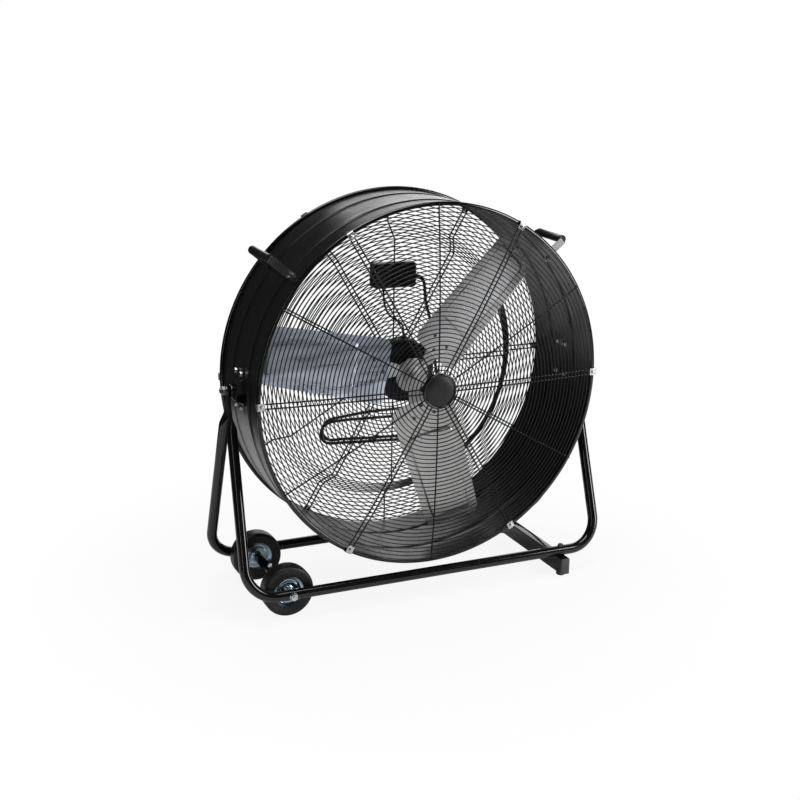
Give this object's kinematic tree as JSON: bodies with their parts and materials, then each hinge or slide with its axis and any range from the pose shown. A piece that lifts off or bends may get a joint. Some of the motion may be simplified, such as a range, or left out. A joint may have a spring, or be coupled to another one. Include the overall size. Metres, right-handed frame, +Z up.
{
  "type": "drum fan",
  "caption": "Wheeled drum fan with wire guards and aluminium blades, tilting in a tubular steel frame.",
  "frame": {"origin": "on the floor, midway between the two tilt pivots and between the two lower frame tubes", "axes": "+X along the tilt axis from the wheels towards the feet, -Y out of the front guard, +Z up"},
  "size_m": [1.0296, 0.385, 1.033],
  "materials": {
    "black_steel": "satin black powder coat",
    "black_wire": "black coated wire",
    "black_motor": "black painted steel",
    "grey_steel": "grey coated strip",
    "zinc_steel": "bright zinc plate",
    "zinc_disc": "blue zinc plated pressing",
    "shaft_steel": "ground steel",
    "stator_steel": "stacked laminations",
    "cord_jacket": "round rubber cord",
    "hub_aluminium": "plain pressed sheet",
    "blade_aluminium": "mill finish sheet",
    "black_plastic": "fine textured",
    "grey_plastic": "plain moulded",
    "black_rubber": "smooth rubber"
  },
  "bodies": {
    "stand": {"front_frame_tube": "black_steel", "rear_frame_tube": "black_steel", "crossbar": "black_steel", "crossbar_caps": "grey_plastic", "rubber_feet": "black_rubber", "frame_bolts": "zinc_steel", "wheel_axle": "zinc_steel", "axle_spacer": "black_steel", "axle_washers": "zinc_steel", "axle_nuts": "zinc_steel", "pivot_bolts": "zinc_steel", "pivot_nuts": "zinc_steel", "pivot_washers": "zinc_steel"},
    "drum": {"drum_shell": "black_steel", "pivot_bracket_left": "black_steel", "pivot_bracket_right": "black_steel", "bracket_bolts": "zinc_steel", "handle_bracket_left": "grey_steel", "handle_bracket_right": "grey_steel", "handle_grip_left": "black_plastic", "handle_grip_right": "black_plastic", "handle_bolts": "zinc_steel", "front_guard": "black_wire", "rear_guard": "black_wire", "badge": "black_plastic", "front_clips": "zinc_steel", "rear_clips": "zinc_steel", "clip_screws": "zinc_steel", "motor_housing": "black_motor", "motor_rear_bell": "black_motor", "motor_bearings": "shaft_steel", "motor_stator": "stator_steel", "motor_mount_plate": "black_steel", "control_box": "black_plastic", "control_box_cover": "black_plastic", "speed_switch": "black_plastic", "cord_glands": "black_plastic", "motor_lead": "cord_jacket", "power_cord": "cord_jacket", "cord_hank": "cord_jacket", "power_plug": "cord_jacket"},
    "rotor": {"fan_hub": "hub_aluminium", "blade_1": "blade_aluminium", "blade_2": "blade_aluminium", "blade_3": "blade_aluminium", "motor_shaft": "shaft_steel", "rotor_core": "stator_steel"},
    "wheel_front": {"tyre_front": "black_rubber", "wheel_hub_front": "zinc_disc"},
    "wheel_rear": {"tyre_rear": "black_rubber", "wheel_hub_rear": "zinc_disc"},
    "knob": {"speed_knob": "black_plastic"}
  },
  "joints": [
    {"name": "drum_tilt", "type": "hinge", "parent": "stand", "child": "drum", "pos_m": [0, 0, 0.567], "axis": [1, 0, 0], "range_deg": [-90, 90]},
    {"name": "rotor_spin", "type": "hinge", "parent": "drum", "child": "rotor", "pos_m": [0, -0.006, 0.563], "axis": [0, 1, 0], "continuous": true},
    {"name": "wheel_front_spin", "type": "hinge", "parent": "stand", "child": "wheel_front", "pos_m": [-0.3865, -0.1225, 0.0665], "axis": [0, 1, 0], "continuous": true},
    {"name": "wheel_rear_spin", "type": "hinge", "parent": "stand", "child": "wheel_rear", "pos_m": [-0.3865, 0.1225, 0.0665], "axis": [0, 1, 0], "continuous": true},
    {"name": "knob_turn", "type": "hinge", "parent": "drum", "child": "knob", "pos_m": [0.008, 0.16, 0.801], "axis": [0, 1, 0], "range_deg": [0, 270]}
  ]
}
